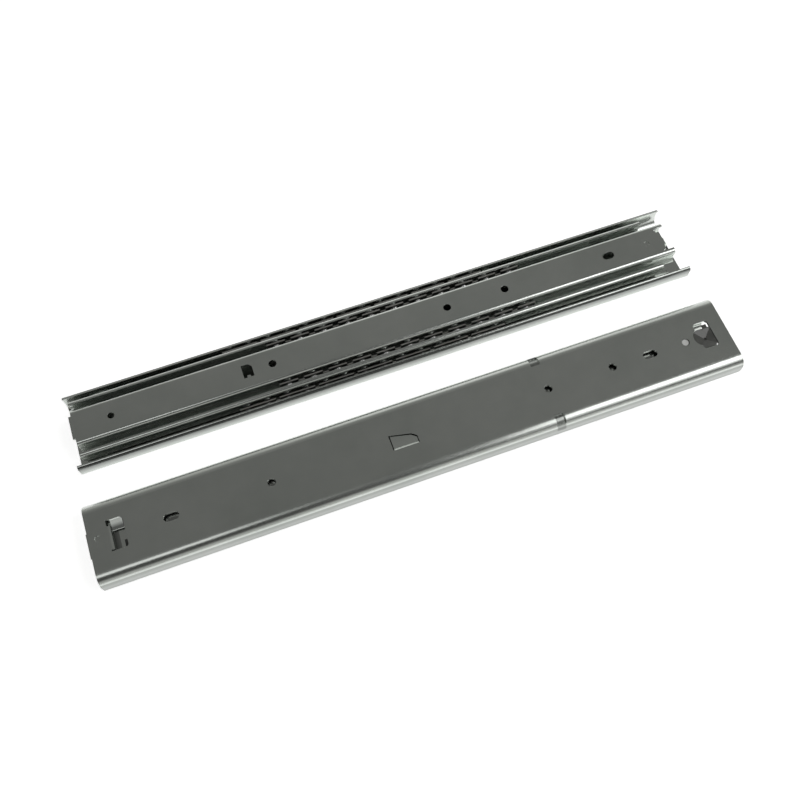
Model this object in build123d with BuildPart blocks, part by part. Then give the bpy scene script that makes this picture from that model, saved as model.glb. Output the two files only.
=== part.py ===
from build123d import *
import math
import os

# Pair of three-member telescopic slide rails, closed, lying side by side on the floor.
# Each rail is drawn in its own frame: X runs from the front end to the rear end,
# Y runs across, Z runs from the outer member's back to the inner member's face.
# The members are pulled out along -X. Millimetres.

# Overall size of one closed rail
rail_length = 406.4
rail_width = 50.8
rail_depth = 19.05

# Sheet thicknesses
outer_sheet = 1.6
middle_sheet = 1.5
inner_sheet = 1.5
retainer_sheet = 0.8

# Balls, their raceways and the retainer pockets
ball_diameter = 5.556
ball_radius = ball_diameter / 2
round_sides = 12
race_clearance = 0.04
pocket_clearance = 0.17
race_flat = 2.0
outer_row_rise = 1.4
row_offset = 3.6

# Outer member's section
outer_corner_radius = 7.0
outer_lip_radius = 2.2
lip_rise = 2.42
lip_offset = 2.1

# Middle member's section
web_gap = 2.4
middle_step = 0.55
middle_flare = 0.54
middle_corner_radius = 2.75
middle_corner_inset = 1.5
middle_lip_rise = 1.62
middle_lip_radius = 2.1
middle_lip_wall = 2.1

# Inner member's section
inner_step = 0.42
inner_corner_radius = 2.5
inner_foot_flare = 1.47
foot_clearance = 0.8
inner_foot_height = 1.2
race_bend_radius = 1.5

# Where the middle and inner members end in the closed rail
middle_front = 3.5
middle_rear_gap = 16.9
middle_web_rear_gap = 23.4
inner_front = 4.0
inner_rear_gap = 5.4
inner_web_cut = 7.0
front_tongue_width = 15.5
front_tongue_reach = 1.5
front_tongue_root = 3.0

# Travel of each stage
middle_travel = 200.0
inner_travel = 191.5

# Retainers: first lobe, lobe pitch and number of lobes
outer_lobe_first = 101.8
outer_lobe_pitch = 25.4
outer_lobe_length = 22.9
outer_lobe_count = 7
inner_ball_first = 135.6
inner_ball_pitch = 15.875
inner_lobe_length = 12.0
inner_lobe_count = 11
lobe_height = 5.3
notch_depth = 2.8
outer_retainer_drop = 5.0
bridge_length = 12.0
bridge_clearance = 0.7
bridge_bend_radius = 1.6
strip_foot = 0.9

# Screw holes and slots in the outer member's web, from its front end and from its rear end
screw_hole = 5.0
outer_front_hole = 109.0
outer_rear_holes = (121.4, 78.4)
outer_front_slot = 48.5
outer_rear_slot = 52.9
outer_slot_length = 9.4

# Screw holes, slot, dimple and window in the inner member's web
inner_front_hole = 129.5
inner_rear_holes = (160.9, 121.4)
inner_rear_slot = 48.4
inner_slot_length = 7.8
inner_pin_hole = 4.2
inner_pin_place = 27.3
inner_rear_dimple = 20.8
inner_window_place = (113.6, 0.5)
inner_window_size = (6.5, 9.0)
inner_window_corner = 2.2
inner_window_tab = (2.2, 1.4)

# Front stop of the outer member: an opening with a tab bent inward and a sloping lip
front_stop_place = (16.75, -1.0)
front_stop_size = (9.9, 19.2)
front_stop_corners = (3.0, 1.6)
front_tab_width = 14.4
front_tab_centre = 0.4
front_tab_reach = 1.6
front_lip_width = 7.0
front_lip_reach = 6.6
front_lip_radius = 3.0
front_lip_gap = 0.4
tab_bend_radius = 2.1
tab_end_clearance = 0.3

# How far a tab's own sheet reaches back into the web that it is bent from
tab_root = 2.0

# Side flap of the outer member, stepped inward along its long edge
flap_start = 183.5
flap_length = 15.5
flap_line = 5.8
flap_step = 0.9
flap_bend_radius = 1.9
flap_opening_wide = 4.2
flap_opening_narrow = 1.2
flap_gap = 0.4
flap_side_gap = 0.8
flap_cut_corner = 3.0
flap_root = 3.4

# Small pressed dimple beside the front stop
dimple_place = (5.5, -1.5)
dimple_diameter = 3.6
dimple_depth = 0.6
dimple_sides = 8

# Dents pressed into both corners of the outer member behind the retainers
dent_play = 3.9
dent_length = 6.0
dent_depth = 1.3
dent_angles = (-7.0, 48.0)
dent_overshoot = 0.5

# Rear bumper and the opening that shows it: a round hole crossed by a slot
bumper_rear_gap = 15.9
bumper_round = 13.2
bumper_round_sides = 16
bumper_slot_length = 10.0
bumper_slot_offset = 1.6
bumper_slot_near = 9.7
bumper_slot_far = 8.2
bumper_slot_corner = 1.2
bumper_clearance = 0.25
bumper_flange = 2.0
bumper_flange_corner = 2.0
bumper_flange_margin = 0.9
bumper_block_length = 4.5
bumper_block_rise = 0.9
bumper_edge_near = 5.4
bumper_edge_far = 10.5
bumper_open_corner = 1.5
bumper_knob_size = (2.6, 2.2)
bumper_knob_gap = 2.9
bumper_face_rim = 0.5
bumper_peg = 4.2
bumper_peg_hole = 4.9
bumper_peg_gap = 12.9
bumper_peg_play = 0.3
bumper_recess = 0.3
bumper_face_depth = 1.9
bumper_eye = 2.0
bumper_eye_depth = 0.6
bumper_eye_offset = 0.7
bumper_post_height = 7.4
bumper_post_width = 8.0
bumper_post_length = 3.6

# Middle member's stop tabs and the buffer cap on the tall one
stop_tab_width = 10.0
stop_tab_height = 6.8
window_margin = 2.0
stop_cap_wall = 1.3
stop_cap_fit = 0.05
stop_cap_lift = 1.2
stop_cap_chamfer = 0.4
stop_contact_gap = 0.3
low_tab_width = 6.4
low_tab_centre = 0.3
low_window_margin = 2.6
low_window_gap = 0.3
low_tab_root = 2.4
stop_tab_root = 4.0

# Inner member's rear tongue, bent down to meet the stop tab
tongue_width = 5.0
tongue_centre = -1.8
tongue_tip_gap = 2.5
tongue_foot_gap = 2.1
tongue_post_gap = 0.4

# How the two rails lie
rail_spacing = 74.7
first_rail_shift = 2.0
second_rail_opening = 3.5

# Levels and rows worked out from the sizes above
outer_web_z = outer_sheet / 2
middle_web_z = outer_sheet + web_gap + middle_sheet / 2
inner_web_z = rail_depth - inner_sheet / 2
outer_row_z = outer_corner_radius + outer_row_rise
inner_row_z = outer_row_z + row_offset
outer_lip_z = outer_row_z + ball_radius + lip_rise
middle_lip_z = inner_row_z + ball_radius + middle_lip_rise
outer_wall_y = rail_width / 2 - outer_sheet / 2
outer_row_y = rail_width / 2 - outer_sheet - race_clearance - ball_radius
middle_low_y = outer_row_y - ball_radius - race_clearance - middle_sheet / 2
middle_high_y = middle_low_y + middle_step
inner_row_y = middle_high_y - middle_sheet / 2 - race_clearance - ball_radius
inner_race_y = inner_row_y - ball_radius - race_clearance - inner_sheet / 2
inner_side_y = inner_race_y + inner_step
bridge_z = middle_web_z + middle_sheet / 2 + bridge_clearance + retainer_sheet / 2
inner_foot_z = bridge_z + retainer_sheet / 2 + foot_clearance

pocket_width = ball_diameter + 2 * pocket_clearance

# Lengths along the rail
middle_rear = rail_length - middle_rear_gap
middle_web_rear = rail_length - middle_web_rear_gap
inner_rear = rail_length - inner_rear_gap
tongue_tip = inner_rear - tongue_tip_gap
inner_web_rear = inner_rear - inner_web_cut
bumper_place = rail_length - bumper_rear_gap
bumper_peg_place = bumper_place - bumper_peg_gap
outer_retainer_length = outer_lobe_pitch * (outer_lobe_count - 1) + outer_lobe_length
inner_retainer_start = inner_ball_first - inner_lobe_length / 2
inner_retainer_length = inner_ball_pitch * (inner_lobe_count - 1) + inner_lobe_length
front_tab_x = front_stop_place[0] - front_stop_size[0] / 2 + front_tab_reach
dent_start = outer_lobe_first + outer_retainer_length + dent_play
stop_face_x = tongue_tip - inner_sheet - inner_travel - stop_contact_gap
low_tab_x = front_tab_x + outer_sheet / 2 + middle_travel + stop_contact_gap + middle_sheet / 2
flap_level = outer_sheet + flap_step


def bent_outline(path, bends, thickness):
    """Outline of a sheet that follows a path, with each bend's outside radius given."""
    points = [Vector(*point) for point in path]
    sides = {1: [], -1: []}
    turns = []
    for index, point in enumerate(points):
        before = points[max(index - 1, 0)]
        after = points[min(index + 1, len(points) - 1)]
        into = (point - before).normalized() if index > 0 else (after - point).normalized()
        out_of = (after - point).normalized() if index < len(points) - 1 else into
        mean = (into + out_of).normalized()
        reach = thickness / 2 / mean.dot(into)
        if 0 < index < len(points) - 1:
            turns.append(into.X * out_of.Y - into.Y * out_of.X)
        for side in sides:
            normal = Vector(-mean.Y, mean.X) * side
            sides[side].append(point + normal * reach)
    for side, corners in sides.items():
        radii = []
        for turn, bend in zip(turns, bends):
            radii.append(max(bend - thickness, 0) if turn * side > 0 else bend)
        FilletPolyline(*corners, radius=radii)
    Line(sides[1][0], sides[-1][0])
    Line(sides[1][-1], sides[-1][-1])


def both_sides(half):
    """The whole path of a channel from the half on its +Y side."""
    return [(-y, z) for y, z in reversed(half)] + half


def channel(half, bends, thickness, start, length):
    """A channel of bent sheet that runs along the rail."""
    with BuildPart() as body:
        with BuildSketch(Plane.YZ.offset(start)):
            with BuildLine():
                bent_outline(both_sides(half), bends[::-1] + bends, thickness)
            make_face()
        extrude(amount=length)
    return body.part


def cross_tab(path, bend, thickness, centre_y, width):
    """A tab bent about a line across the rail, from a path in the X-Z plane."""
    with BuildPart() as body:
        with BuildSketch(Plane.XZ.offset(-centre_y - width / 2)):
            with BuildLine():
                bent_outline(path, [bend], thickness)
            make_face()
        extrude(amount=width)
    return body.part


def along_tab(path, bends, thickness, start, length):
    """A tab bent about lines along the rail, from a path in the Y-Z plane."""
    with BuildPart() as body:
        with BuildSketch(Plane.YZ.offset(start)):
            with BuildLine():
                bent_outline(path, bends, thickness)
            make_face()
        extrude(amount=length)
    return body.part


def corner_sector(side, inner_radius, outer_radius):
    """A band along the outer member's corner arc, where a dent is pressed in."""
    centre_y = rail_width / 2 - outer_corner_radius
    low, high = [math.radians(270 + angle) for angle in dent_angles]
    middle = (low + high) / 2

    def at(radius, angle):
        return (side * (centre_y + radius * math.cos(angle)), outer_corner_radius + radius * math.sin(angle))

    with BuildSketch(Plane.YZ.offset(dent_start)) as sector:
        with BuildLine():
            ThreePointArc(at(inner_radius, low), at(inner_radius, middle), at(inner_radius, high))
            Line(at(inner_radius, high), at(outer_radius, high))
            ThreePointArc(at(outer_radius, high), at(outer_radius, middle), at(outer_radius, low))
            Line(at(outer_radius, low), at(inner_radius, low))
        make_face()
    return sector.sketch


def make_outer_member():
    """Fixed member: wide channel whose rounded sides are the outer raceways."""
    half = [
        (outer_wall_y, outer_web_z),
        (outer_wall_y, outer_lip_z),
        (outer_row_y + lip_offset, outer_lip_z),
    ]
    inside_radius = outer_corner_radius - outer_sheet
    tab_z = outer_sheet + web_gap - tab_end_clearance
    stop_x, stop_y = front_stop_place
    lip_y = stop_y - front_stop_size[1] / 2
    lip_start = stop_x + front_stop_size[0] / 2 - front_lip_gap - front_lip_width
    shell = channel(half, [outer_corner_radius, outer_lip_radius], outer_sheet, 0, rail_length)
    tab_start = stop_x - front_stop_size[0] / 2 - tab_root
    tab_path = [(tab_start, outer_web_z), (front_tab_x, outer_web_z), (front_tab_x, tab_z)]
    tab = cross_tab(tab_path, tab_bend_radius, outer_sheet, front_tab_centre, front_tab_width)
    lip_tip = (lip_y + front_lip_reach, tab_z - outer_sheet / 2)
    lip_path = [(lip_y - tab_root, outer_web_z), (lip_y, outer_web_z), lip_tip]
    lip = along_tab(lip_path, [front_lip_radius], outer_sheet, lip_start, front_lip_width)
    flap_z = outer_web_z + flap_step
    flap_path = [
        (flap_line + flap_root, outer_web_z),
        (flap_line, outer_web_z),
        (flap_line - flap_step, flap_z),
        (-flap_opening_wide, flap_z),
    ]
    flap_sheet = along_tab(flap_path, [flap_bend_radius] * 2, outer_sheet, flap_start, flap_length)
    flap_shape = flap_outline(flap_gap)
    with BuildPart() as flap:
        add(flap_sheet)
        extrude(flap_shape, amount=flap_level, mode=Mode.INTERSECT)
    bumper_cut = bumper_outline(0)
    flap_cut = flap_outline(0)
    stop_cut = front_stop_outline()
    dent_floor = outer_corner_radius - dent_depth
    hollows = [corner_sector(side, dent_floor, outer_corner_radius + dent_overshoot) for side in (1, -1)]
    bulges = [corner_sector(side, inside_radius - dent_depth, dent_floor) for side in (1, -1)]
    with BuildPart() as outer:
        add(shell)
        # Screw holes, slots, the bumper's opening and the lanced openings
        with BuildSketch(Plane.XY):
            with Locations((outer_front_hole, 0), *[(rail_length - x, 0) for x in outer_rear_holes]):
                Circle(screw_hole / 2)
            with Locations((outer_front_slot, 0), (rail_length - outer_rear_slot, 0)):
                SlotOverall(outer_slot_length, screw_hole)
            with Locations((bumper_peg_place + bumper_peg_play, 0)):
                RegularPolygon(bumper_peg_hole / 2, round_sides)
            add(stop_cut)
            add(bumper_cut)
            add(flap_cut)
        extrude(amount=outer_sheet, mode=Mode.SUBTRACT)
        # Front stop tab, the lip beside it, and the side flap
        add([tab, lip, flap.part])
        # Pressed dents in both corners
        for hollow, bulge in zip(hollows, bulges):
            extrude(hollow, amount=dent_length, dir=(1, 0, 0), mode=Mode.SUBTRACT)
            extrude(bulge, amount=dent_length, dir=(1, 0, 0))
        # Pressed dimple
        with BuildSketch(Plane.XY):
            with Locations(dimple_place):
                RegularPolygon(dimple_diameter / 2, dimple_sides)
        extrude(amount=dimple_depth, mode=Mode.SUBTRACT)
    return outer.part


def front_stop_outline():
    """Opening of the front stop, with its two rear corners rounded."""
    stop_x, stop_y = front_stop_place
    half_length = front_stop_size[0] / 2
    half_width = front_stop_size[1] / 2
    with BuildSketch(Plane.XY) as opening:
        with BuildLine():
            corners = [(-half_length, -half_width), (half_length, -half_width)]
            corners += [(half_length, half_width), (-half_length, half_width)]
            places = [(stop_x + x, stop_y + y) for x, y in corners]
            path = FilletPolyline(*places, radius=front_stop_corners)
            Line(path @ 1, path @ 0)
        make_face()
    return opening.sketch


def flap_outline(gap):
    """Outline of the side flap's opening, with one slanted edge, or of the flap inside it."""
    near = flap_line + (flap_root if gap else 0)
    left = flap_start - flap_side_gap + gap
    right = flap_start + flap_length + flap_gap - gap
    with BuildSketch(Plane.XY) as opening:
        with BuildLine():
            Polyline(
                (left, near),
                (left, gap - flap_opening_wide),
                (right - flap_cut_corner, gap - flap_opening_narrow),
                (right, gap + flap_opening_narrow),
                (right, near),
                close=True,
            )
        make_face()
    return opening.sketch


def bumper_outline(inset):
    """Outline of the opening over the bumper: a round hole crossed by a slot."""
    length = bumper_slot_length - 2 * inset
    width = bumper_slot_near + bumper_slot_far - 2 * inset
    centre_y = (bumper_slot_far - bumper_slot_near) / 2
    with BuildSketch(Plane.XY) as slot:
        with Locations((bumper_place + bumper_slot_offset, centre_y)):
            Rectangle(length, width)
        chamfer(slot.vertices(), bumper_slot_corner)
    with BuildSketch(Plane.XY) as outline:
        with Locations((bumper_place, 0)):
            RegularPolygon(bumper_round / 2 - inset, bumper_round_sides)
        add(slot.sketch)
    return outline.sketch


def make_rear_bumper():
    """Moulded bumper on the outer web: it stops the middle member and the inner tongue."""
    flange_start = bumper_peg_place - bumper_peg / 2 - bumper_flange_margin
    flange_corner = flange_start + bumper_flange_corner
    opening_rear = bumper_place + bumper_slot_offset + bumper_slot_length / 2
    open_corner_x = opening_rear - bumper_open_corner
    web_stop_x = middle_web_rear + stop_contact_gap
    post_x = tongue_tip + tongue_post_gap
    flange_end = post_x + bumper_post_length
    eye_x = bumper_place + bumper_eye_offset
    knob_x = opening_rear - bumper_knob_gap
    face_length = bumper_round - 2 * (bumper_clearance + bumper_face_rim)
    face_width = bumper_edge_near + bumper_slot_far - bumper_clearance - 2 * bumper_face_rim
    face_y = (bumper_slot_far - bumper_clearance - bumper_edge_near) / 2
    face_outline = bumper_outline(bumper_clearance)
    pit = facet_pit(eye_x, face_y, face_length, face_width)
    above = (Align.CENTER, Align.MIN)
    below = (Align.CENTER, Align.MAX)
    with BuildPart() as bumper:
        # Flange under the web, with one corner left open
        with BuildSketch(Plane.XY.offset(outer_sheet)):
            with BuildLine():
                Polyline(
                    (flange_start, bumper_flange_corner - bumper_edge_near),
                    (flange_corner, -bumper_edge_near),
                    (flange_end, -bumper_edge_near),
                    (flange_end, bumper_slot_far - 2 * bumper_open_corner),
                    (open_corner_x, bumper_slot_far - bumper_open_corner),
                    (open_corner_x, bumper_edge_far),
                    (flange_corner, bumper_edge_far),
                    (flange_start, bumper_edge_far - bumper_flange_corner),
                    close=True,
                )
            make_face()
        extrude(amount=bumper_flange)
        # Face in the opening, kept short of the parts that stay open, and the knob beside it
        with BuildSketch(Plane.XY.offset(bumper_recess)):
            add(face_outline)
            with Locations((bumper_place, -bumper_edge_near)):
                Rectangle(2 * bumper_round, bumper_slot_near, align=below, mode=Mode.SUBTRACT)
            with Locations((open_corner_x, bumper_slot_far)):
                corner = (Align.MIN, Align.CENTER)
                Rectangle(2 * bumper_open_corner, 2 * bumper_open_corner, align=corner, mode=Mode.SUBTRACT)
            with Locations((knob_x, -bumper_edge_near - bumper_knob_size[1])):
                Rectangle(bumper_knob_size[0], bumper_knob_size[1] + bumper_face_rim, align=above)
        extrude(amount=outer_sheet - bumper_recess)
        # Four sloping facets that meet at the eye
        add(pit, mode=Mode.SUBTRACT)
        with BuildSketch(Plane.XY.offset(bumper_recess)):
            with Locations((eye_x, face_y)):
                RegularPolygon(bumper_eye / 2, dimple_sides)
        extrude(amount=bumper_face_depth + bumper_eye_depth, mode=Mode.SUBTRACT)
        # Locating peg
        with BuildSketch(Plane.XY.offset(bumper_recess)):
            with Locations((bumper_peg_place, 0)):
                RegularPolygon(bumper_peg / 2, round_sides)
        extrude(amount=outer_sheet - bumper_recess)
        # Block that meets the middle web, and the post that meets the inner tongue
        with BuildSketch(Plane.XY.offset(outer_sheet + bumper_flange)):
            with Locations((web_stop_x, 0)):
                Rectangle(bumper_block_length, 2 * bumper_edge_near, align=(Align.MIN, Align.CENTER))
        extrude(amount=web_gap - bumper_flange + middle_sheet + bumper_block_rise)
        with BuildSketch(Plane.XY.offset(outer_sheet)):
            with Locations((post_x, 0)):
                Rectangle(bumper_post_length, bumper_post_width, align=(Align.MIN, Align.CENTER))
        extrude(amount=bumper_post_height)
    return bumper.part


def facet_pit(centre_x, centre_y, length, width):
    """Shallow pit with four flat facets, where two V-grooves cross."""
    floor = bumper_recess + bumper_face_depth
    with BuildPart() as pit:
        with BuildSketch(Plane.XZ.offset(-centre_y)):
            with BuildLine():
                start = (centre_x - length / 2, bumper_recess)
                Polyline(start, (centre_x, floor), (centre_x + length / 2, bumper_recess), close=True)
            make_face()
        extrude(amount=width / 2, both=True)
        with BuildSketch(Plane.YZ.offset(centre_x)):
            with BuildLine():
                start = (centre_y - width / 2, bumper_recess)
                Polyline(start, (centre_y, floor), (centre_y + width / 2, bumper_recess), close=True)
            make_face()
        extrude(amount=length / 2, both=True, mode=Mode.INTERSECT)
    return pit.part


def make_middle_member():
    """Middle member: its sides are the raceways of both ball rows."""
    flat = race_flat / 2
    flare_y = middle_high_y + middle_flare
    half = [
        (middle_low_y - middle_corner_inset, middle_web_z),
        (middle_low_y, outer_row_z - flat),
        (middle_low_y, outer_row_z + flat),
        (middle_high_y, inner_row_z - flat),
        (middle_high_y, inner_row_z + flat),
        (flare_y, middle_lip_z - middle_lip_wall),
        (flare_y, middle_lip_z),
        (inner_row_y + lip_offset, middle_lip_z),
    ]
    corner = middle_corner_radius
    race = race_bend_radius + middle_sheet / 2
    bends = [corner, corner, corner, race, race, race, middle_lip_radius]
    web_top = middle_web_z + middle_sheet / 2
    web_bottom = middle_web_z - middle_sheet / 2
    tab_x = stop_face_x - stop_cap_wall - middle_sheet / 2
    tab_top = web_top + stop_tab_height
    low_z = flap_level + tab_end_clearance
    low_bend_start = low_tab_x + middle_sheet / 2 - tab_bend_radius
    web_cut = 2 * (middle_low_y - middle_corner_inset - corner)
    shell = channel(half, bends, middle_sheet, middle_front, middle_rear - middle_front)
    tall_path = [(tab_x - stop_tab_root, middle_web_z), (tab_x, middle_web_z), (tab_x, tab_top)]
    tall_tab = cross_tab(tall_path, tab_bend_radius, middle_sheet, 0, stop_tab_width)
    low_path = [(low_tab_x - low_tab_root, middle_web_z), (low_tab_x, middle_web_z), (low_tab_x, low_z)]
    low_tab = cross_tab(low_path, tab_bend_radius, middle_sheet, low_tab_centre, low_tab_width)
    with BuildPart() as middle:
        add(shell)
        # Tongue at the front end
        with BuildSketch(Plane.XY.offset(web_bottom)):
            with Locations((middle_front - front_tongue_reach, 0)):
                tongue_length = front_tongue_reach + front_tongue_root
                Rectangle(tongue_length, front_tongue_width, align=(Align.MIN, Align.CENTER))
        extrude(amount=middle_sheet)
        # Web cut back at the rear, and the windows the two tabs are lanced from
        with BuildSketch(Plane.XY.offset(web_bottom)):
            with Locations((middle_web_rear, 0)):
                Rectangle(middle_web_rear_gap, web_cut, align=(Align.MIN, Align.CENTER))
            with Locations((tab_x, 0)):
                Rectangle(stop_tab_height + window_margin, stop_tab_width, align=(Align.MIN, Align.CENTER))
            with Locations((low_bend_start, low_tab_centre)):
                low_window_width = low_tab_width + 2 * low_window_gap
                Rectangle(web_gap + low_window_margin, low_window_width, align=(Align.MIN, Align.CENTER))
        extrude(amount=middle_sheet, mode=Mode.SUBTRACT)
        # Tall tab up towards the inner member, short tab down towards the outer web
        add([tall_tab, low_tab])
    return middle.part


def make_stop_cap():
    """Moulded cap over the middle member's tall tab, a cushion for full extension."""
    tab_x = stop_face_x - stop_cap_wall - middle_sheet / 2
    tab_top = middle_web_z + middle_sheet / 2 + stop_tab_height
    cap_base = middle_web_z + middle_sheet / 2 + stop_cap_lift
    cap_length = middle_sheet + 2 * stop_cap_wall
    cap_width = stop_tab_width + 2 * stop_cap_wall
    with BuildPart() as cap:
        with BuildSketch(Plane.XY.offset(cap_base)):
            with Locations((tab_x, 0)):
                Rectangle(cap_length, cap_width)
        extrude(amount=tab_top + stop_cap_wall - cap_base)
        with BuildSketch(Plane.XY.offset(cap_base)):
            with Locations((tab_x, 0)):
                Rectangle(middle_sheet + 2 * stop_cap_fit, stop_tab_width + 2 * stop_cap_fit)
        extrude(amount=tab_top - cap_base, mode=Mode.SUBTRACT)
        chamfer(cap.faces().sort_by(Axis.Z)[-1].edges(), stop_cap_chamfer)
    return cap.part


def make_inner_member():
    """Inner member: channel that faces back, with its raceways outside."""
    flat = race_flat * 0.6
    foot_y = inner_race_y + inner_foot_flare
    half = [
        (inner_side_y, inner_web_z),
        (inner_side_y, inner_row_z + 2 * flat),
        (inner_race_y, inner_row_z + flat),
        (inner_race_y, inner_row_z - flat),
        (foot_y, inner_foot_z + inner_foot_height),
        (foot_y, inner_foot_z),
    ]
    race = race_bend_radius + inner_sheet / 2
    bends = [inner_corner_radius, race, race, race, race]
    web_bottom = inner_web_z - inner_sheet / 2
    web_cut = 2 * (inner_side_y - inner_corner_radius)
    foot_z = middle_web_z + middle_sheet / 2 + tongue_foot_gap
    tongue_x = tongue_tip - inner_sheet / 2
    shell = channel(half, bends, inner_sheet, inner_front, inner_rear - inner_front)
    tongue_path = [(inner_web_rear - 1, inner_web_z), (tongue_x, inner_web_z), (tongue_x, foot_z)]
    tongue = cross_tab(tongue_path, tab_bend_radius, inner_sheet, tongue_centre, tongue_width)
    window_cut = inner_window_outline()
    with BuildPart() as inner:
        add(shell)
        # Tongue at the front end
        with BuildSketch(Plane.XY.offset(web_bottom)):
            with Locations((inner_front - front_tongue_reach, 0)):
                tongue_length = front_tongue_reach + front_tongue_root
                Rectangle(tongue_length, front_tongue_width, align=(Align.MIN, Align.CENTER))
        extrude(amount=inner_sheet)
        # Web cut back at the rear, screw holes, slot, window and pin holes
        with BuildSketch(Plane.XY.offset(web_bottom)):
            with Locations((inner_web_rear, 0)):
                Rectangle(inner_rear_gap + inner_web_cut, web_cut, align=(Align.MIN, Align.CENTER))
            with Locations((inner_front_hole, 0), *[(rail_length - x, 0) for x in inner_rear_holes]):
                Circle(screw_hole / 2)
            with Locations((rail_length - inner_rear_slot, 0)):
                SlotOverall(inner_slot_length, screw_hole)
            with Locations((inner_pin_place, 0)):
                Circle(inner_pin_hole / 2)
            add(window_cut)
        extrude(amount=inner_sheet, mode=Mode.SUBTRACT)
        # Pressed dimple
        with BuildSketch(Plane.XY.offset(rail_depth - dimple_depth)):
            with Locations((rail_length - inner_rear_dimple, 0)):
                RegularPolygon(dimple_diameter / 2, dimple_sides)
        extrude(amount=dimple_depth, mode=Mode.SUBTRACT)
        # Tapered end of the web, and the tongue bent down from it
        with BuildSketch(Plane.XY.offset(web_bottom)):
            with BuildLine():
                Polyline(
                    (inner_web_rear - 1, 7.5),
                    (inner_web_rear + 0.5, 7.0),
                    (tongue_tip - 1.2, tongue_centre + tongue_width / 2),
                    (tongue_tip - tab_bend_radius, tongue_centre + tongue_width / 2),
                    (tongue_tip - tab_bend_radius, tongue_centre - tongue_width / 2),
                    (inner_web_rear + 1.8, -7.8),
                    (inner_web_rear - 1, -8.5),
                    close=True,
                )
            make_face()
        extrude(amount=inner_sheet)
        add(tongue)
    return inner.part


def inner_window_outline():
    """Small window in the inner web, with one cut corner and a tab left in it."""
    centre_x, centre_y = inner_window_place
    half_length = inner_window_size[0] / 2
    half_width = inner_window_size[1] / 2
    tab_place = (centre_x, centre_y - half_width)
    with BuildSketch(Plane.XY) as window:
        with BuildLine():
            Polyline(
                (centre_x - half_length, centre_y - half_width),
                (centre_x + half_length, centre_y - half_width),
                (centre_x + half_length, centre_y + half_width - inner_window_corner),
                (centre_x + half_length - inner_window_corner, centre_y + half_width),
                (centre_x - half_length, centre_y + half_width),
                close=True,
            )
        make_face()
        with Locations(tab_place):
            Rectangle(*inner_window_tab, align=(Align.CENTER, Align.MIN), mode=Mode.SUBTRACT)
    return window.sketch


def make_outer_retainer(side):
    """Lobed strip that spaces one row of outer balls, two balls to a lobe."""
    strip_top = outer_row_z + lobe_height
    row_y = side * outer_row_y
    strip_size = (retainer_sheet, lobe_height + outer_retainer_drop)
    with BuildPart() as strip:
        with BuildSketch(Plane.YZ.offset(outer_lobe_first)):
            with Locations((row_y, outer_row_z - outer_retainer_drop)):
                Rectangle(*strip_size, align=(Align.CENTER, Align.MIN))
        extrude(amount=outer_retainer_length)
        with BuildSketch(Plane.XZ.offset(-row_y)):
            with Locations(*[(x, outer_row_z) for x in outer_ball_places()]):
                Rectangle(pocket_width, pocket_width)
            for index in range(outer_lobe_count - 1):
                start = outer_lobe_first + outer_lobe_pitch * index + outer_lobe_length
                notch = (outer_lobe_pitch - outer_lobe_length, 2 * notch_depth)
                with Locations((start, strip_top)):
                    Rectangle(*notch, align=(Align.MIN, Align.CENTER))
        extrude(amount=ball_radius, both=True, mode=Mode.SUBTRACT)
    return strip.part


def outer_ball_places():
    """Two balls in each lobe, evenly spaced all along the strip."""
    places = []
    for index in range(outer_lobe_count):
        middle = outer_lobe_first + outer_lobe_pitch * index + outer_lobe_length / 2
        places += [middle - outer_lobe_pitch / 4, middle + outer_lobe_pitch / 4]
    return places


def inner_ball_places():
    """One ball in each lobe."""
    return [inner_ball_first + inner_ball_pitch * index for index in range(inner_lobe_count)]


def make_inner_retainer():
    """U-shaped retainer: two lobed strips joined by a bridge at the front."""
    strip_top = inner_row_z + lobe_height
    half = [(inner_row_y, bridge_z), (inner_row_y, strip_top)]
    shell = channel(half, [bridge_bend_radius], retainer_sheet, inner_retainer_start, inner_retainer_length)
    with BuildPart() as retainer:
        add(shell)
        # Only the front bridge joins the strips
        bridge_end = inner_retainer_start + bridge_length
        strip_bottom = bridge_z + retainer_sheet / 2 + strip_foot
        with BuildSketch(Plane.XY.offset(bridge_z - retainer_sheet)):
            with Locations((bridge_end, 0)):
                long_cut = inner_retainer_length - bridge_length
                Rectangle(long_cut, 3 * inner_row_y, align=(Align.MIN, Align.CENTER))
        extrude(amount=strip_bottom - bridge_z + retainer_sheet, mode=Mode.SUBTRACT)
        # Ball pockets and the notches between lobes
        with BuildSketch(Plane.XZ):
            with Locations(*[(x, inner_row_z) for x in inner_ball_places()]):
                Rectangle(pocket_width, pocket_width)
            for place in inner_ball_places()[:-1]:
                with Locations((place + inner_ball_pitch / 2, strip_top)):
                    Rectangle(inner_ball_pitch - inner_lobe_length, 2 * notch_depth)
        extrude(amount=inner_row_y + ball_radius, both=True, mode=Mode.SUBTRACT)
    return retainer.part


def make_ball():
    """One ball, drawn as a regular solid of twenty faces with two of its corners in the raceways."""
    reach = ball_radius / math.sqrt(5)
    turns = [math.radians(36 * step) for step in range(10)]
    poles = [(0, side * ball_radius, 0) for side in (1, -1)]
    ring = []
    for step, turn in enumerate(turns):
        height = reach if step % 2 == 0 else -reach
        ring.append((2 * reach * math.cos(turn), height, 2 * reach * math.sin(turn)))
    faces = []
    for step in range(10):
        pole = poles[step % 2]
        corner, following, opposite = ring[step], ring[(step + 2) % 10], ring[(step + 1) % 10]
        for top in (pole, opposite):
            faces.append(Face(Wire.make_polygon([corner, following, top])))
    return Solid(Shell(faces))


def make_balls(places, row_y, row_z):
    """One row of balls."""
    ball = make_ball()
    with BuildPart() as balls:
        with Locations(*[(x, row_y, row_z) for x in places]):
            add(ball)
    return balls.part


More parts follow.
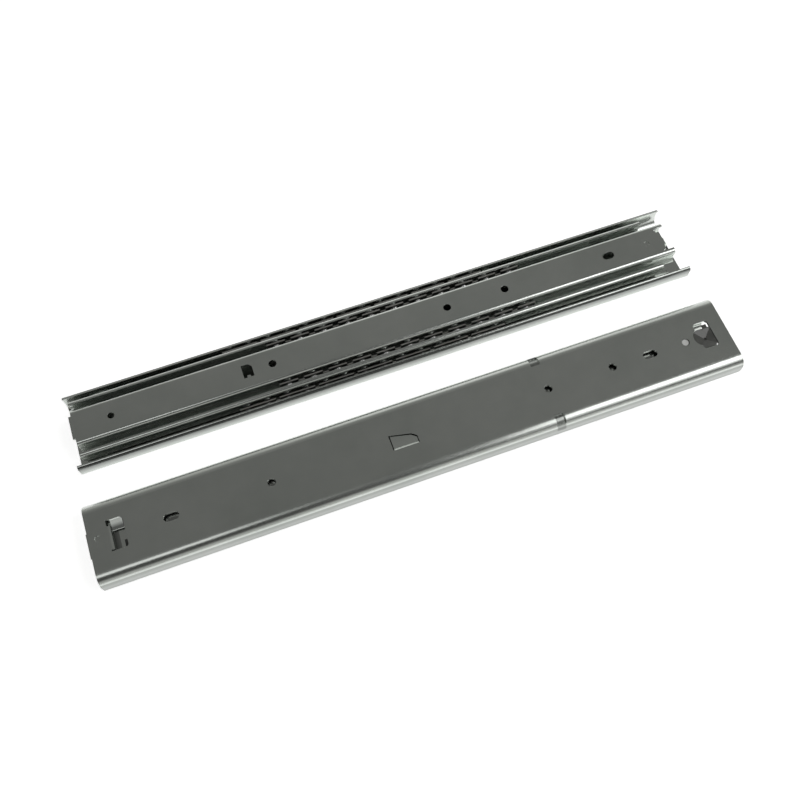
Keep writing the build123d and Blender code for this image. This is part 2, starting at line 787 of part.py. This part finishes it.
# Every piece of one closed rail, and how far it stands forward with the middle member
pieces = {
    "outer_member": (make_outer_member(), 0),
    "rear_bumper": (make_rear_bumper(), 0),
    "outer_retainer_left": (make_outer_retainer(-1), 0.5),
    "outer_retainer_right": (make_outer_retainer(1), 0.5),
    "outer_balls_left": (make_balls(outer_ball_places(), -outer_row_y, outer_row_z), 0.5),
    "outer_balls_right": (make_balls(outer_ball_places(), outer_row_y, outer_row_z), 0.5),
    "middle_member": (make_middle_member(), 1),
    "stop_cap": (make_stop_cap(), 1),
    "inner_retainer": (make_inner_retainer(), 1),
    "inner_balls_left": (make_balls(inner_ball_places(), -inner_row_y, inner_row_z), 1),
    "inner_balls_right": (make_balls(inner_ball_places(), inner_row_y, inner_row_z), 1),
    "inner_member": (make_inner_member(), 1),
}

# The first rail lies on its back, the second on its face and slightly open.
# The origin is on the floor under the middle of the pair.
front_reach = middle_front - front_tongue_reach - second_rail_opening
length_centre = (front_reach + first_rail_shift + rail_length) / 2
rails = {
    "first": (Location((first_rail_shift - length_centre, rail_spacing / 2, 0)), 0),
    "second": (Location((-length_centre, -rail_spacing / 2, rail_depth), (180, 0, 0)), second_rail_opening),
}

os.makedirs("parts", exist_ok=True)
for rail, (place, opening) in rails.items():
    for piece, (shape, share) in pieces.items():
        with BuildPart() as placed:
            add(shape.moved(place * Location((-opening * share, 0, 0))))
        placed.part.label = f"{rail}_{piece}"
        export_step(placed.part, f"parts/{placed.part.label}.step")
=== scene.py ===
import math

import bmesh
import bpy
from mathutils import Matrix, Vector


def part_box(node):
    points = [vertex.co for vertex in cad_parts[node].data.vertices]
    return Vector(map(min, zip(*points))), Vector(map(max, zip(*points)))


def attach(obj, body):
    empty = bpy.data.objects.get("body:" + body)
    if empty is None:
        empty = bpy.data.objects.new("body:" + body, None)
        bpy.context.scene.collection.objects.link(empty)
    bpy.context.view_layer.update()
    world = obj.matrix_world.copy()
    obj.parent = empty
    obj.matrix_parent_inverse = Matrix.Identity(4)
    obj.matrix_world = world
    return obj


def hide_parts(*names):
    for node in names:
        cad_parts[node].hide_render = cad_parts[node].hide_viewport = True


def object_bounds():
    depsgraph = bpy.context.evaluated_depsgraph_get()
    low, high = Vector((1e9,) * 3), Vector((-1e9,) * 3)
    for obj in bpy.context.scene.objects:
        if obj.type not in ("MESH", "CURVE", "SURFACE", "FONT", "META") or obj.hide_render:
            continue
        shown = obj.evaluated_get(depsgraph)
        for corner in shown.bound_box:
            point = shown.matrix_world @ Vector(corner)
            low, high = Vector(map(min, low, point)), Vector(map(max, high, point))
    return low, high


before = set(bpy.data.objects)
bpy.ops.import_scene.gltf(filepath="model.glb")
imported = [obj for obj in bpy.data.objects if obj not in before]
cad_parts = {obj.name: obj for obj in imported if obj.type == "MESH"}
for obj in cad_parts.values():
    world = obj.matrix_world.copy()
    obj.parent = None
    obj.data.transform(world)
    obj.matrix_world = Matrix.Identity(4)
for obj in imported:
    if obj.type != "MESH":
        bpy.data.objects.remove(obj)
cad_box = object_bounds()

# Camera, as fitted to the photograph: degrees, metres, and the lens in pixels of an 800 pixel frame
CAMERA_AZIMUTH = -17.97
CAMERA_ELEVATION = 65.45
CAMERA_ROLL = -1.96
CAMERA_DISTANCE = 0.58276
CAMERA_TARGET = Vector((-0.00332, -0.00498, 0.0))
CAMERA_SENSOR = 36.0
CAMERA_CLIP = (0.01, 50.0)
FOCAL_PIXELS = 923.95
FRAME_PIXELS = 800

# Softboxes: place, width and length in metres, and watts
SOFTBOXES = {
    "softbox_left": ((-0.70, -0.32, 1.2), (1.04, 0.48), 1.75),
    "softbox_right": ((1.09, -0.50, 1.2), (1.35, 0.8), 9.0),
    "softbox_side": ((1.25, -1.25, 1.2), (1.5, 0.7), 3.2),
}
BACKLIGHT_PLACE = (0.95, 2.0, 0.6)
BACKLIGHT_SIZE = (2.0, 1.3)
BACKLIGHT_POWER = 3.2

# Room seen from the rails, by the Y part of the direction: the camera's side is -1, overhead is 0
ROOM = (
    (-1.00, 0.58),
    (-0.90, 0.46),
    (-0.82, 0.06),
    (-0.36, 0.07),
    (-0.05, 0.13),
    (0.45, 0.175),
    (0.75, 0.27),
    (1.00, 0.60),
)
# The room's tint, and its strength between two X parts of the direction, brighter at the rails' rear
ROOM_TINT = (1.0, 1.0, 0.97)
ROOM_SIDE_SPAN = (-0.4, 0.4)
ROOM_SIDES = (0.92, 1.14)

FLOOR_SIZE = 8.0
FLOOR_GAP = 0.0002
FLOOR_COLOUR = (0.95, 0.95, 0.95, 1)
FLOOR_ROUGHNESS = 0.9
FLOOR_GLOW_COLOUR = (1, 1, 1, 1)
FLOOR_GLOW = 0.74

# Dark tone, light tone and roughness of the plated steels and the plastics
SHEET = ((0.545, 0.575, 0.545), (0.62, 0.645, 0.615), 0.24)
STRIP = ((0.42, 0.42, 0.40), (0.55, 0.55, 0.53), 0.28)
GREY_PLASTIC = ((0.085, 0.088, 0.082), (0.120, 0.123, 0.116), 0.26)
DARK_PLASTIC = ((0.06, 0.06, 0.06), (0.09, 0.09, 0.09), 0.5)
# The pins are the bumpers' plastic painted pale: painted light standing for the highlight on their
# dished ends
LIT_PIN_PLASTIC = ((0.72, 0.73, 0.71), (0.80, 0.81, 0.79), 0.20)

# The part of a noise's range that carries it from one tone to the other
NOISE_SPAN = (0.3, 0.7)
RELIEF_DEPTH = 0.0001

# Plating: its clouds, its rolling lines drawn out along X, and the broken edge of the cut sheet
CLOUDS = {"Scale": 28.0, "Detail": 4.0, "Roughness": 0.6}
LINES = {"Scale": 2600.0, "Detail": 3.0, "Roughness": 0.7}
LINE_STRETCH = (0.04, 1.0, 1.0)
LINE_SHEEN = 0.02
LINE_RELIEF = 0.03
EDGE_RADIUS = 0.0002
EDGE_SAMPLES = 4

# Moulded plastic: its clouds and its grain
PLASTIC_CLOUDS = {"Scale": 160.0, "Detail": 3.0}
PLASTIC_GRAIN = {"Scale": 3000.0, "Detail": 2.0}
PLASTIC_RELIEF = 0.15

# Ball steel
STEEL_COLOUR = (0.86, 0.86, 0.87, 1)
STEEL_ROUGHNESS = (0.04, 0.12)
SMEARS = {"Scale": 500.0, "Detail": 2.0}

# Painted shade on the middle members' webs deep in the rails' channel: its colour, the levels where
# it is thickest and where it ends, and where it starts along the rail
CHANNEL_SHADE_COLOUR = (0.30, 0.31, 0.295)
CHANNEL_SHADE_LEVELS = {"first": (0.0040, 0.0056), "second": (0.0134, 0.0115)}
CHANNEL_SHADE_START = (-0.175, -0.182)

# Painted light and shade on the members' plating: where it is painted darker or lighter. Each patch
# is a box, the axis and the line its tone changes along, and the tone at both ends. SIDE is the
# distance from the rail's middle.
RAIL_LINES = {"first": 0.03735, "second": -0.03735}
PATCH_EDGE = 0.00005
PATCHES = {
    "first_outer_member": (
        # Side walls: painted shade, darker towards the top
        (
            {"SIDE": (0.0240, 0.0300), "Z": (0.0020, 0.0150)},
            "Z", (0.0135, 0.0070), (0.28, 0.90),
        ),
    ),
    "second_outer_member": (
        # Side walls: painted shade, darker towards the bottom
        (
            {"SIDE": (0.0240, 0.0300), "Z": (0.0, 0.0150)},
            "Z", (0.0140, 0.0040), (0.62, 0.50),
        ),
        # Dents in the bends: painted shade
        (
            {"SIDE": (0.0172, 0.0300), "Z": (0.0120, 0.0200), "X": (0.0775, 0.0832)},
            "SIDE", (0.0180, 0.0240), (0.50, 0.62),
        ),
        # Sloping lip of the front stop: painted shade, graded across the flat lip in place of its
        # curve
        (
            {"X": (-0.18920, -0.18210), "Y": (-0.03340, -0.02660), "Z": (0.0, 0.01890)},
            "Y", (-0.0318, -0.0294), (0.13, 0.55),
        ),
        # Lanced flap: painted light, lighter than the plating around it
        (
            {"X": (-0.02075, -0.00405), "Y": (-0.04150, -0.03300), "Z": (0.0172, 0.01880)},
            "Y", (-0.0415, -0.0330), (1.20, 1.08),
        ),
    ),
    # Painted shade on the web under the front stop's window: its front part, and the arm and foot of
    # a dark edge
    "second_middle_member": (
        (
            {"X": (-0.19000, -0.18630), "Y": (-0.04750, -0.03300), "Z": (0.0150, 0.0185)},
            "X", (-0.1884, -0.1863), (0.36, 0.55),
        ),
        (
            {"X": (-0.18420, -0.18240), "Y": (-0.04550, -0.04010), "Z": (0.0150, 0.0185)},
            "Y", (-0.0450, -0.0402), (0.10, 0.20),
        ),
        (
            {"X": (-0.18700, -0.18260), "Y": (-0.04650, -0.04470), "Z": (0.0150, 0.0185)},
            "X", (-0.1870, -0.1826), (0.25, 0.12),
        ),
    ),
}

# Smooth balls, and how far a plain ball's corners reach along the rail for a radius of 1
BALL_SEGMENTS = 32
BALL_RINGS = 16
BALLS_IN_ROW = {"outer": 14, "inner": 11}
CORNER_REACH = 2 / math.sqrt(5)

# Dished end of the rear bumpers' locating pins: place along the rail, radius, and the share of the
# radius and depth under the rail's back of each ring, from the foot over the rim to the middle
PIN_PLACES = {"first": 0.17615, "second": 0.17415}
PIN_RADIUS = 0.00208
PIN_SEGMENTS = 40
PIN_LEVELS = (
    (1.0, 0.00034),
    (1.0, 0.00006),
    (0.94, 0.00002),
    (0.8, 0.00010),
    (0.6, 0.00017),
    (0.3, 0.00024),
    (0.01, 0.00026),
)


def place_camera():
    """A camera at the photograph's viewing angle."""
    azimuth, elevation, roll = map(math.radians, (CAMERA_AZIMUTH, CAMERA_ELEVATION, CAMERA_ROLL))
    back = Vector((
        math.sin(azimuth) * math.cos(elevation),
        -math.cos(azimuth) * math.cos(elevation),
        math.sin(elevation),
    ))
    right = (-back).cross(Vector((0, 0, 1))).normalized()
    up = back.cross(right)
    rolled_right = right * math.cos(roll) + up * math.sin(roll)
    rolled_up = up * math.cos(roll) - right * math.sin(roll)
    data = bpy.data.cameras.new("camera")
    data.sensor_width = CAMERA_SENSOR
    data.lens = CAMERA_SENSOR * FOCAL_PIXELS / FRAME_PIXELS
    data.clip_start, data.clip_end = CAMERA_CLIP
    camera = bpy.data.objects.new("camera", data)
    bpy.context.scene.collection.objects.link(camera)
    turn = Matrix((rolled_right, rolled_up, back)).transposed().to_4x4()
    camera.matrix_world = Matrix.Translation(CAMERA_TARGET + back * CAMERA_DISTANCE) @ turn
    bpy.context.scene.camera = camera


def area_light(name, place, aim, size, power):
    """A rectangular softbox at a place, turned towards a point."""
    data = bpy.data.lights.new(name, "AREA")
    data.shape = "RECTANGLE"
    data.size, data.size_y = size
    data.energy = power
    light = bpy.data.objects.new(name, data)
    bpy.context.scene.collection.objects.link(light)
    turn = (Vector(aim) - Vector(place)).to_track_quat("-Z", "Y").to_matrix().to_4x4()
    light.matrix_world = Matrix.Translation(place) @ turn


def room_light():
    """World light that varies smoothly from the camera's side to the far side."""
    world = bpy.data.worlds.new("room")
    world.use_nodes = True
    tree = world.node_tree
    background = tree.nodes["Background"]
    place = node(tree, "ShaderNodeTexCoord")
    parts = node(tree, "ShaderNodeSeparateXYZ")
    tree.links.new(place.outputs["Generated"], parts.inputs["Vector"])

    levels = node(tree, "ShaderNodeValToRGB")
    tree.links.new(spread(tree, parts.outputs["Y"], (-1.0, 1.0), (0.0, 1.0)), levels.inputs["Fac"])
    stops = levels.color_ramp.elements
    while len(stops) < len(ROOM):
        stops.new(0.5)
    for stop, (direction, level) in zip(stops, ROOM):
        stop.position = (direction + 1) / 2
        stop.color = (*[level * tint for tint in ROOM_TINT], 1)
    tree.links.new(levels.outputs["Color"], background.inputs["Color"])

    strength = spread(tree, parts.outputs["X"], ROOM_SIDE_SPAN, ROOM_SIDES)
    tree.links.new(strength, background.inputs["Strength"])
    bpy.context.scene.world = world


def lay_floor():
    """A pale, faintly glowing sheet of paper under the rails."""
    half = FLOOR_SIZE / 2
    corners = [(-half, -half, 0), (half, -half, 0), (half, half, 0), (-half, half, 0)]
    mesh = bpy.data.meshes.new("floor")
    mesh.from_pydata(corners, [], [(0, 1, 2, 3)])
    floor = bpy.data.objects.new("floor", mesh)
    bpy.context.scene.collection.objects.link(floor)
    floor.location.z = cad_box[0].z - FLOOR_GAP
    material, shader, tree = new_material("floor_paper")
    shader.inputs["Base Color"].default_value = FLOOR_COLOUR
    shader.inputs["Roughness"].default_value = FLOOR_ROUGHNESS
    shader.inputs["Emission Color"].default_value = FLOOR_GLOW_COLOUR
    shader.inputs["Emission Strength"].default_value = FLOOR_GLOW
    mesh.materials.append(material)


def light_studio():
    """Dim room, three softboxes overhead, a backlight behind the rails, and the floor."""
    room_light()
    bpy.context.scene.view_settings.view_transform = "Standard"
    for name, (place, size, power) in SOFTBOXES.items():
        area_light(name, place, (place[0], place[1], 0), size, power)
    area_light("backlight", BACKLIGHT_PLACE, (0, 0, 0), BACKLIGHT_SIZE, BACKLIGHT_POWER)
    lay_floor()


def new_material(name):
    """An empty material with its shader and its node tree."""
    material = bpy.data.materials.new(name)
    material.use_nodes = True
    tree = material.node_tree
    return material, tree.nodes["Principled BSDF"], tree


def node(tree, kind, **values):
    """A shader node with some of its inputs or properties set."""
    made = tree.nodes.new(kind)
    for key, value in values.items():
        if key in made.inputs:
            made.inputs[key].default_value = value
        else:
            setattr(made, key, value)
    return made


def noise(tree, vector, settings):
    """A noise over a vector socket."""
    made = node(tree, "ShaderNodeTexNoise", **settings)
    tree.links.new(vector, made.inputs["Vector"])
    return made.outputs["Fac"]


def spread(tree, source, seen, given):
    """Maps one span of a socket's values to another."""
    made = node(tree, "ShaderNodeMapRange")
    made.inputs["From Min"].default_value, made.inputs["From Max"].default_value = seen
    made.inputs["To Min"].default_value, made.inputs["To Max"].default_value = given
    tree.links.new(source, made.inputs["Value"])
    return made.outputs["Result"]


def band(tree, source, inside, outside):
    """A mask that is 1 at one value of a socket and falls to 0 at another."""
    return spread(tree, source, (outside, inside), (0.0, 1.0))


def both(tree, first, second):
    """The product of two masks."""
    product = node(tree, "ShaderNodeMath", operation="MULTIPLY")
    tree.links.new(first, product.inputs[0])
    tree.links.new(second, product.inputs[1])
    return product.outputs["Value"]


def cloudy(tree, vector, settings, dark, light):
    """A colour that drifts between two tones."""
    tint = node(tree, "ShaderNodeValToRGB")
    stops = tint.color_ramp.elements
    for stop, position, tone in zip(stops, NOISE_SPAN, (dark, light)):
        stop.position = position
        stop.color = (*tone, 1)
    tree.links.new(noise(tree, vector, settings), tint.inputs["Fac"])
    return tint.outputs["Color"]


def blend_colour(tree, mask, first, second):
    """Mixes a colour socket with another socket or with a plain colour, by a mask socket."""
    mix = node(tree, "ShaderNodeMixRGB")
    tree.links.new(mask, mix.inputs["Fac"])
    tree.links.new(first, mix.inputs["Color1"])
    if hasattr(second, "node"):
        tree.links.new(second, mix.inputs["Color2"])
    else:
        mix.inputs["Color2"].default_value = (*second, 1)
    return mix.outputs["Color"]


def distance_from_middle(tree, y, rail):
    """How far a point is from a rail's middle line."""
    across = node(tree, "ShaderNodeMath", operation="SUBTRACT")
    tree.links.new(y, across.inputs[0])
    across.inputs[1].default_value = RAIL_LINES[rail]
    side = node(tree, "ShaderNodeMath", operation="ABSOLUTE")
    tree.links.new(across.outputs["Value"], side.inputs[0])
    return side.outputs["Value"]


def patch(tree, places, colour, box, axis, line, tones):
    """Scales a colour inside a box by a tone that changes along one line."""
    mask = None
    for name, (low, high) in box.items():
        above = band(tree, places[name], low + PATCH_EDGE, low)
        below = band(tree, places[name], high - PATCH_EDGE, high)
        span = both(tree, above, below)
        mask = both(tree, mask, span) if mask else span
    scaled = node(tree, "ShaderNodeVectorMath", operation="SCALE")
    tree.links.new(colour, scaled.inputs["Vector"])
    tree.links.new(spread(tree, places[axis], line, tones), scaled.inputs["Scale"])
    return blend_colour(tree, mask, colour, scaled.outputs["Vector"])


def zinc(name, steel, channel_shade=None, patched=None):
    """Zinc-plated rolled steel: cloudy plating, fine rolling lines, patches of painted light and
    shade, and painted shade past one level.
    """
    dark, light, roughness = steel
    material, shader, tree = new_material(name)
    place = node(tree, "ShaderNodeTexCoord").outputs["Object"]
    colour = cloudy(tree, place, CLOUDS, dark, light)
    parts = node(tree, "ShaderNodeSeparateXYZ")
    tree.links.new(place, parts.inputs["Vector"])
    # Painted light and shade: patches of the plating made darker or lighter
    if patched in PATCHES:
        places = {axis: parts.outputs[axis] for axis in ("X", "Y", "Z")}
        places["SIDE"] = distance_from_middle(tree, places["Y"], patched.split("_")[0])
        for box, axis, line, tones in PATCHES[patched]:
            colour = patch(tree, places, colour, box, axis, line, tones)
    # Painted shade: the web darkened deep in the channel, past one level and back from the front end
    if channel_shade:
        level = band(tree, parts.outputs["Z"], *channel_shade)
        along = band(tree, parts.outputs["X"], *CHANNEL_SHADE_START)
        colour = blend_colour(tree, both(tree, level, along), colour, CHANNEL_SHADE_COLOUR)
    tree.links.new(colour, shader.inputs["Base Color"])

    stretch = node(tree, "ShaderNodeMapping", Scale=LINE_STRETCH)
    tree.links.new(place, stretch.inputs["Vector"])
    lines = noise(tree, stretch.outputs["Vector"], LINES)
    sheen = spread(tree, lines, NOISE_SPAN, (roughness - LINE_SHEEN, roughness + LINE_SHEEN))
    tree.links.new(sheen, shader.inputs["Roughness"])

    bump = node(tree, "ShaderNodeBump", Strength=LINE_RELIEF, Distance=RELIEF_DEPTH)
    tree.links.new(lines, bump.inputs["Height"])
    edges = node(tree, "ShaderNodeBevel", samples=EDGE_SAMPLES, Radius=EDGE_RADIUS)
    tree.links.new(edges.outputs["Normal"], bump.inputs["Normal"])
    tree.links.new(bump.outputs["Normal"], shader.inputs["Normal"])
    shader.inputs["Metallic"].default_value = 1.0
    return material


def plastic(name, mould):
    """Moulded plastic with a fine matt texture."""
    dark, light, roughness = mould
    material, shader, tree = new_material(name)
    place = node(tree, "ShaderNodeTexCoord").outputs["Object"]
    tree.links.new(cloudy(tree, place, PLASTIC_CLOUDS, dark, light), shader.inputs["Base Color"])
    bump = node(tree, "ShaderNodeBump", Strength=PLASTIC_RELIEF, Distance=RELIEF_DEPTH)
    tree.links.new(noise(tree, place, PLASTIC_GRAIN), bump.inputs["Height"])
    tree.links.new(bump.outputs["Normal"], shader.inputs["Normal"])
    shader.inputs["Roughness"].default_value = roughness
    return material


def polished_steel(name):
    """Bright ball steel with faint grease smears."""
    material, shader, tree = new_material(name)
    place = node(tree, "ShaderNodeTexCoord").outputs["Object"]
    smears = spread(tree, noise(tree, place, SMEARS), (0.0, 1.0), STEEL_ROUGHNESS)
    tree.links.new(smears, shader.inputs["Roughness"])
    shader.inputs["Base Color"].default_value = STEEL_COLOUR
    shader.inputs["Metallic"].default_value = 1.0
    return material


def dress(name, material):
    """Gives a CAD node its material."""
    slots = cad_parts[name].data.materials
    slots.clear()
    slots.append(material)


def smooth_piece(name, work, material):
    """A smooth object from a worked mesh."""
    for face in work.faces:
        face.smooth = True
    mesh = bpy.data.meshes.new(name)
    work.to_mesh(mesh)
    work.free()
    mesh.materials.append(material)
    piece = bpy.data.objects.new(name, mesh)
    bpy.context.scene.collection.objects.link(piece)
    return piece


def ball_row(rail, row, side, body, material):
    """Smooth balls that stand for one row of plain ones."""
    stand_in = f"{rail}_{row}_balls_{side}"
    low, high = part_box(stand_in)
    middle = (low + high) / 2
    radius = (high.y - low.y) / 2
    reach = CORNER_REACH * radius
    count = BALLS_IN_ROW[row]
    pitch = (high.x - low.x - 2 * reach) / (count - 1)
    work = bmesh.new()
    for index in range(count):
        centre = Vector((low.x + reach + pitch * index, middle.y, middle.z))
        bmesh.ops.create_uvsphere(
            work,
            u_segments=BALL_SEGMENTS,
            v_segments=BALL_RINGS,
            radius=radius,
            matrix=Matrix.Translation(centre),
        )
    balls = smooth_piece(f"{stand_in}_polished", work, material)
    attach(balls, body)
    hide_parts(stand_in)


def bumper_pin(rail, material):
    """Dished end of the rear bumper's locating pin, seen in its hole in the rail's back."""
    low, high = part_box(f"{rail}_outer_member")
    back, inwards = (low.z, 1) if rail == "first" else (high.z, -1)
    turns = [2 * math.pi * step / PIN_SEGMENTS for step in range(PIN_SEGMENTS)]
    work = bmesh.new()
    rings = []
    for share, depth in PIN_LEVELS:
        reach = PIN_RADIUS * share
        places = [
            (
                PIN_PLACES[rail] + reach * math.cos(turn),
                RAIL_LINES[rail] + reach * math.sin(turn),
                back + inwards * depth,
            )
            for turn in turns
        ]
        rings.append([work.verts.new(place) for place in places])
    for lower, upper in zip(rings, rings[1:]):
        for step in range(PIN_SEGMENTS):
            following = (step + 1) % PIN_SEGMENTS
            work.faces.new((lower[step], lower[following], upper[following], upper[step]))
    work.faces.new(rings[-1])
    work.faces.new(rings[0][::-1])
    bmesh.ops.recalc_face_normals(work, faces=work.faces)
    pin = smooth_piece(f"{rail}_bumper_pin", work, material)
    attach(pin, "frame_side")


place_camera()
light_studio()

sheet = zinc("zinc_plated_sheet", SHEET)
strip = zinc("zinc_plated_strip", STRIP)
grey_plastic = plastic("grey_plastic", GREY_PLASTIC)
dark_plastic = plastic("dark_plastic", DARK_PLASTIC)
# Painted light: a pale copy of the bumper plastic for the pins
lit_pin_plastic = plastic("lit_pin_plastic", LIT_PIN_PLASTIC)
steel = polished_steel("ball_steel")

for rail in ("first", "second"):
    outer, middle, inner = (f"{rail}_{member}_member" for member in ("outer", "middle", "inner"))
    # Levels of the painted shade on the middle member's web
    levels = CHANNEL_SHADE_LEVELS[rail]
    dress(inner, sheet)
    dress(outer, zinc(f"outer_sheet_{rail}", SHEET, patched=outer))
    dress(middle, zinc(f"channel_shaded_sheet_{rail}", SHEET, channel_shade=levels, patched=middle))
    for retainer in ("outer_retainer_left", "outer_retainer_right", "inner_retainer"):
        dress(f"{rail}_{retainer}", strip)
    dress(f"{rail}_rear_bumper", grey_plastic)
    bumper_pin(rail, lit_pin_plastic)
    dress(f"{rail}_stop_cap", dark_plastic)
    for side in ("left", "right"):
        dress(f"{rail}_outer_balls_{side}", steel)
        dress(f"{rail}_inner_balls_{side}", steel)
        ball_row(rail, "outer", side, f"{rail}_outer_balls_{side}", steel)
        ball_row(rail, "inner", side, f"{rail}_inner_balls", steel)
